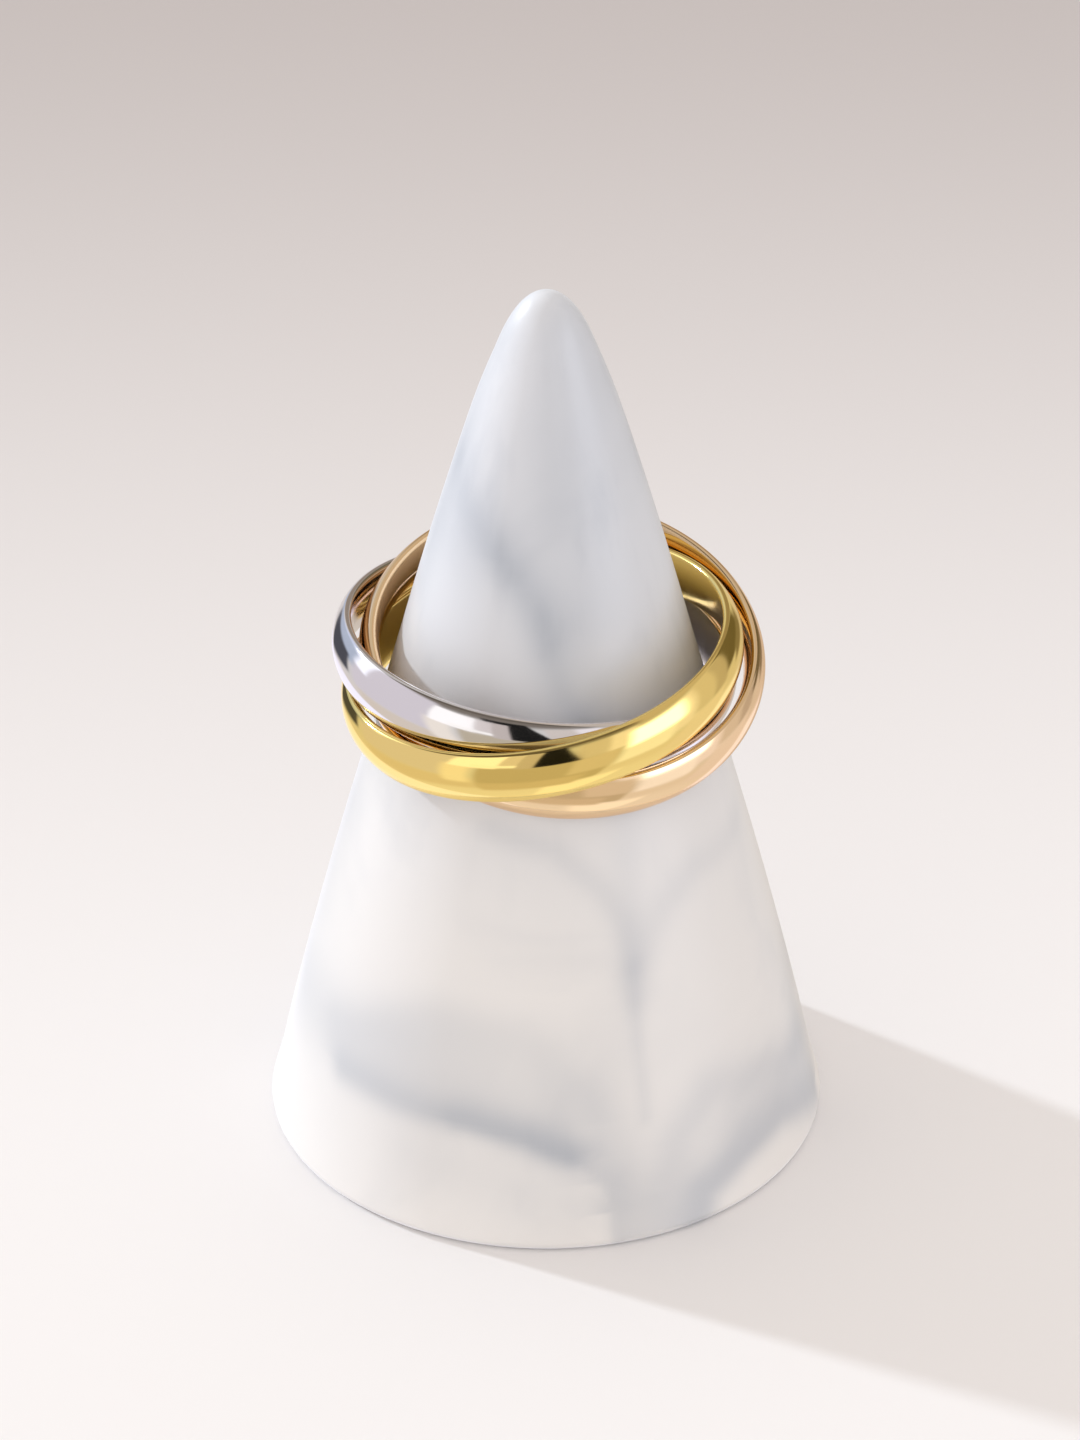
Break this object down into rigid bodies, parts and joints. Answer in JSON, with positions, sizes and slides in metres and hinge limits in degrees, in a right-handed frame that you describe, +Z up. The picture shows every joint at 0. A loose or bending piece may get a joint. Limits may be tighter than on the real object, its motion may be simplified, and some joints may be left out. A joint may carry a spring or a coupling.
{
  "type": "rolling ring on a cone ring stand",
  "caption": "Rolling ring of interlocked polished gold bands in white, yellow and rose, seated on a plain marbled cone stand with a rounded tip.",
  "frame": {"origin": "centre of the stand's flat underside", "axes": "+Z up along the cone's axis; the side that faces the camera in the picture faces -Y"},
  "size_m": [0.0288, 0.0288, 0.0479],
  "materials": {
    "white_gold": "polished",
    "yellow_gold": "polished",
    "rose_gold": "polished",
    "marbled_ceramic": "satin glaze with soft grey marbling"
  },
  "bodies": {
    "stand": {"cone_stand": "marbled_ceramic", "rose_band": "rose_gold"},
    "white": {"white_band": "white_gold"},
    "yellow": {"yellow_band": "yellow_gold"}
  },
  "joints": [
    {"name": "white_turn", "type": "hinge", "parent": "stand", "child": "white", "pos_m": [-0.00059, 0.00007, 0.0269], "axis": [0.1192, 0.0689, 0.9905], "continuous": true},
    {"name": "yellow_turn", "type": "hinge", "parent": "stand", "child": "yellow", "pos_m": [-0.00022, -0.00126, 0.02703], "axis": [-0.1896, -0.0176, 0.9817], "continuous": true}
  ]
}
